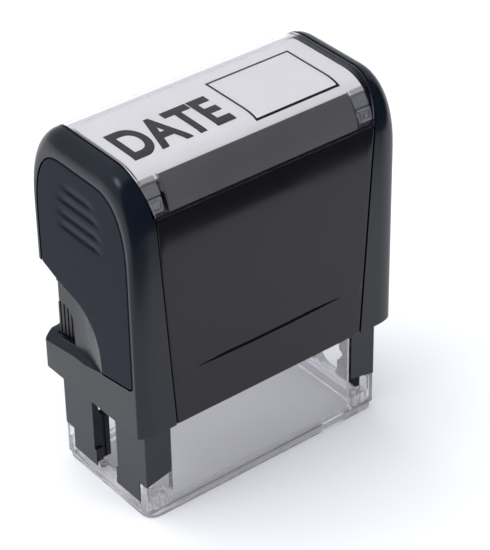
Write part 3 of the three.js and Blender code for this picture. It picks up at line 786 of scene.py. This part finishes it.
class STAMP_OT_card(bpy.types.Operator):
    """Make the index card and its print: a plain word and an outlined box"""

    bl_idname = "stamp.card"
    bl_label = "Index card"

    def execute(self, context):
        half_x, half_y = CARD_HIGH[:2]
        x = spread(2 * half_x, 1.5, rim=0.2)[None] - half_x
        y = spread(2 * half_y, 0.6, rim=0.2)[:, None] - half_y
        top = np.stack([x + 0 * y, y + 0 * x, card_z(y) + 0 * x], -1)
        made = make_mesh("card_sheet", [shell(top, top - (0, 0, CARD_THICK))])
        settle(smooth(made), "cap", "Card", ["index_card"])

        box = self.outline(*BOX_X, *BOX_Y, BOX_LINE)
        word = self.word(context.scene.stamp_sizes.word, *WORD_X, *WORD_Y)
        made = make_mesh("card_print", [box, word])
        settle(smooth(made, weighted=False), "cap", "Print")
        return {"FINISHED"}

    def outline(self, left, right, near, far, line):
        """A rectangle's line as a thin shell over the card."""
        corners = np.array([(left, near), (right, near), (right, far), (left, far), (left, near)])
        inner = np.array([(1, 1), (-1, 1), (-1, -1), (1, -1), (1, 1)]) * line
        t = np.linspace(0, 4, 161)
        outer_line = np.stack([np.interp(t, range(5), corners[:, k]) for k in (0, 1)], -1)
        inner_line = np.stack([np.interp(t, range(5), (corners + inner)[:, k]) for k in (0, 1)], -1)
        rows = np.stack([outer_line, inner_line])
        top = np.concatenate([rows, card_z(rows[..., 1:], 0.04)], -1)
        return shell(top, top - (0, 0, 0.03))

    def word(self, text, left, right, low, high):
        """The word's letters as a thin mesh laid over the card, cut every millimetre so that it bends."""
        curve = bpy.data.curves.new("word", "FONT")
        curve.body = text
        curve.size = 1.0
        curve.offset = 0.034
        curve.extrude = 0.004
        letters = bpy.data.objects.new("word", curve)
        mesh = bpy.data.meshes.new_from_object(letters)
        bpy.data.objects.remove(letters)
        points = mesh_points(mesh)
        low_corner, high_corner = points.min(0), points.max(0)
        share = (points - low_corner) / (high_corner - low_corner)
        points = np.stack([left + (right - left) * share[:, 0], low + (high - low) * share[:, 1], share[:, 2]], -1)
        mesh.vertices.foreach_set("co", points.ravel())
        work = bmesh.new()
        work.from_mesh(mesh)
        bmesh.ops.remove_doubles(work, verts=work.verts, dist=1e-4)
        for cut in np.arange(math.ceil(low), high, 1.0):
            shape = work.verts[:] + work.edges[:] + work.faces[:]
            bmesh.ops.bisect_plane(work, geom=shape, plane_co=(0, cut, 0), plane_no=(0, 1, 0))
        work.to_mesh(mesh)
        work.free()
        points = mesh_points(mesh)
        points[:, 2] = card_z(points[:, 1], 0.012) + 0.03 * points[:, 2]
        return points, [list(face.vertices) for face in mesh.polygons]


class STAMP_OT_spring(bpy.types.Operator):
    """Make the return spring, a helix of round wire"""

    bl_idname = "stamp.spring"
    bl_label = "Return spring"

    def execute(self, context):
        low, high = box_mm("return_spring")
        wire = context.scene.stamp_sizes.wire / MM
        radius = (high[0] - low[0] - wire) / 2
        t = np.linspace(0, 1, 521)
        angle = t * COILS * 2 * np.pi
        flat = 0.5 / COILS
        rise = np.clip((t - flat) / (1 - 2 * flat), 0, 1)
        z = low[2] + wire / 2 + (high[2] - low[2] - wire) * rise
        outward = np.stack([np.cos(angle), np.sin(angle), 0 * t], -1)
        path = radius * outward + z[:, None] * (0, 0, 1)
        made = make_mesh("spring_coils", [tube(path, outward, np.tile([0.0, 0, 1], (len(t), 1)), wire / 2)])
        settle(smooth(made), "stand", "Spring steel", ["return_spring"])
        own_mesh(made)
        return {"FINISHED"}


def soft_slab(low, high, rim, crown):
    """A pad with rounded edges and a slight crown: height = top - fillet(distance to the edge)
    + crown (1 - x^2)(1 - y^2), with x and y from -1 to 1 across the slab, and the same below."""
    size = high - low
    x, y = spread(size[0], 0.8, rim)[None], spread(size[1], 0.6, rim)[:, None]
    edge = fillet(np.minimum(x, size[0] - x), rim) + fillet(np.minimum(y, size[1] - y), rim)
    swell = crown * (1 - (2 * x / size[0] - 1) ** 2) * (1 - (2 * y / size[1] - 1) ** 2)
    sink = np.minimum(edge, rim) + crown - swell
    place = np.stack([low[0] + x + 0 * y, low[1] + y + 0 * x, 0 * sink], -1)
    up = np.array((0, 0, 1.0))
    return shell(place + (high[2] - sink)[..., None] * up, place + (low[2] + sink)[..., None] * up)


class STAMP_OT_pads(bpy.types.Operator):
    """Make the felt ink pad and the foam cushion"""

    bl_idname = "stamp.pads"
    bl_label = "Ink pad and cushion"

    def execute(self, context):
        for node, name, body, finish, slot in (
            ("ink_pad", "felt_pad", "cartridge", "Felt", "felt"),
            ("cushion", "foam_cushion", "platen", "Foam", "foam"),
        ):
            made = make_mesh(name, [soft_slab(*box_mm(node), 0.5, 0.08)])
            settle(smooth(made), body, finish, [node])
        return {"FINISHED"}


class STAMP_OT_text_plate(bpy.types.Operator):
    """Make the rubber text plate with its raised frame line"""

    bl_idname = "stamp.text_plate"
    bl_label = "Text plate"

    def execute(self, context):
        made = soften("text_plate", "rubber_plate", 0.15)
        settle(made, "platen", "Rubber", ["text_plate"])
        return {"FINISHED"}


class STAMP_OT_mechanism(bpy.types.Operator):
    """Make the frame, bridge, platen and ink cartridge"""

    bl_idname = "stamp.mechanism"
    bl_label = "Frame and inner parts"

    def execute(self, context):
        edge = context.scene.stamp_sizes.edge / MM
        for node, name, body, finish, slot in (
            ("frame", "legged_frame", "stand", "Stand plastic", "black_plastic"),
            ("bridge", "yoke", "cap", "Inner plastic", "inner_plastic"),
            ("platen", "platen_block", "platen", "Inner plastic", "inner_plastic"),
            ("ink_cartridge", "cartridge_tray", "cartridge", "Inner plastic", "inner_plastic"),
        ):
            settle(soften(node, name, edge), body, finish, [node])
        return {"FINISHED"}


class STAMP_OT_base(bpy.types.Operator):
    """Make the clear base"""

    bl_idname = "stamp.base"
    bl_label = "Clear base"

    def execute(self, context):
        made = soften("clear_base", "base_clear", 0.25, segments=3)
        settle(made, "stand", "Clear plastic", ["clear_base"])
        return {"FINISHED"}


class STAMP_OT_studio(bpy.types.Operator):
    """Make the camera, the pale floor and the soft studio light"""

    bl_idname = "stamp.studio"
    bl_label = "Studio"

    def execute(self, context):
        self.camera()
        self.floor()
        self.lights()
        return {"FINISHED"}

    def camera(self):
        """Long lens from the front left, above: azimuth about +Z, elevation, then a small roll."""
        data = bpy.data.cameras.new("Camera")
        data.sensor_width = SENSOR_WIDTH
        data.lens = CAMERA_LENS
        data.shift_x, data.shift_y = CAMERA_SHIFT
        data.clip_start, data.clip_end = 0.01, 20
        azimuth, elevation, roll = CAMERA_TURN
        turn = (
            Matrix.Rotation(math.radians(azimuth), 4, "Z")
            @ Matrix.Rotation(math.radians(90 - elevation), 4, "X")
            @ Matrix.Rotation(math.radians(roll), 4, "Z")
        )
        camera = add_object("Camera", data)
        camera.matrix_world = Matrix.Translation(CAMERA_PLACE) @ turn
        bpy.context.scene.camera = camera

    def floor(self):
        """A pale floor: a disc of rings with a rim well outside every view."""
        ring = np.linspace(0, FLOOR_RADIUS, FLOOR_RINGS)[:, None]
        angle = np.linspace(0, 2 * np.pi, FLOOR_SPOKES)[None]
        points = np.stack([ring * np.cos(angle), ring * np.sin(angle), 0 * ring * angle - FLOOR_DROP], -1)
        self.backdrop("floor", points, "Floor", FLOOR_COLOUR, 3.0, 0.005, 0.9, 0.1)

    def backdrop(self, name, points, finish, colour, mottle, swing, roughness, specular):
        """A grid of points in metres as one sheet, with its own softly mottled finish."""
        mesh = bpy.data.meshes.new(name)
        index = np.arange(points[..., 0].size).reshape(points.shape[:2])
        mesh.from_pydata(points.reshape(-1, 3), [], quads(index).tolist())
        nodes, surface = new_material(finish)
        place = nodes.add("ShaderNodeTexCoord").outputs["Object"]
        tone = nodes.add("ShaderNodeTexNoise", {"Vector": place, "Scale": mottle}).outputs["Fac"]
        nodes.tree.links.new(tone_colour(nodes, tone, colour, swing), surface.inputs["Base Color"])
        surface.inputs["Roughness"].default_value = roughness
        surface.inputs["Specular IOR Level"].default_value = specular
        mesh.materials.append(bpy.data.materials[finish])
        return add_object(name, mesh)

    def lights(self):
        """A white room, a sun through haze, a low fill, a softbox on the left, and a dark screen that only
        reflections see."""
        scene = bpy.context.scene
        scene.view_settings.view_transform = "Standard"
        scene.world = bpy.data.worlds.new("Studio")
        scene.world.use_nodes = True
        room = scene.world.node_tree.nodes["Background"]
        room.inputs["Color"].default_value = (*ROOM_COLOUR, 1)
        room.inputs["Strength"].default_value = 1.0
        self.lamp("Softbox", "AREA", (-0.42, 0.03, 0.52), (0, 0, 0.07), 0.5, shape="DISK", size=0.2)
        daylight = self.lamp("Daylight", "SUN", (-0.35, 0.45, 1.0), (0, 0, 0), 1.85, angle=math.radians(70))
        fill = self.lamp("Fill", "SUN", (0.25, -1.0, 0.62), (0, 0, 0), 1.0, angle=math.radians(40))
        for sun in (daylight, fill):
            sun.visible_glossy = sun.visible_transmission = False
        self.screen()

    def lamp(self, name, kind, place, aim, energy, **settings):
        """A lamp at a place, turned to shine at its aim."""
        data = bpy.data.lights.new(name, kind)
        data.energy = energy
        for key, value in settings.items():
            setattr(data, key, value)
        lamp = add_object(name, data)
        lamp.location = place
        lamp.rotation_mode = "QUATERNION"
        lamp.rotation_quaternion = (Vector(aim) - Vector(place)).to_track_quat("-Z", "Y")
        return lamp

    def screen(self):
        """An upright dark sheet in front of the stamp that only reflections see."""
        x, z = np.linspace(*CLOTH_X, 9)[None], np.linspace(0, CLOTH_HEIGHT, 5)[:, None]
        points = np.stack([x + 0 * z, CLOTH_Y + 0 * x * z, z + 0 * x], -1)
        sheet = self.backdrop("dark_screen", points, "Dark cloth", CLOTH_COLOUR, 9.0, 0.2, 0.5, 0.0)
        for ray in ("camera", "diffuse", "transmission", "volume_scatter", "shadow"):
            setattr(sheet, f"visible_{ray}", False)


BUILD_ORDER = (
    STAMP_OT_studio,
    STAMP_OT_finishes,
    STAMP_OT_base,
    STAMP_OT_mechanism,
    STAMP_OT_spring,
    STAMP_OT_pads,
    STAMP_OT_text_plate,
    STAMP_OT_housing,
    STAMP_OT_covers,
    STAMP_OT_grips,
    STAMP_OT_window,
    STAMP_OT_card,
)


class STAMP_PT_build(bpy.types.Panel):
    """Sidebar panel that lists the stamp's pieces"""

    bl_idname = "STAMP_PT_build"
    bl_label = "Self-Inking Stamp"
    bl_space_type = "VIEW_3D"
    bl_region_type = "UI"
    bl_category = "Stamp"

    def draw(self, context):
        for group in (context.scene.stamp_sizes, context.scene.stamp_colours):
            for name in group.bl_rna.properties.keys():
                if name not in ("rna_type", "name"):
                    self.layout.prop(group, name)
        for operator in BUILD_ORDER:
            self.layout.operator(operator.bl_idname)


CLASSES = (StampColours, StampSizes, *BUILD_ORDER, STAMP_PT_build)


def register():
    for each in CLASSES:
        bpy.utils.register_class(each)
    bpy.types.Scene.stamp_colours = PointerProperty(type=StampColours)
    bpy.types.Scene.stamp_sizes = PointerProperty(type=StampSizes)


def unregister():
    del bpy.types.Scene.stamp_sizes
    del bpy.types.Scene.stamp_colours
    for each in reversed(CLASSES):
        bpy.utils.unregister_class(each)


def main():
    register()
    for operator in BUILD_ORDER:
        group, name = operator.bl_idname.split(".")
        getattr(getattr(bpy.ops, group), name)()


if __name__ == "__main__":
    main()
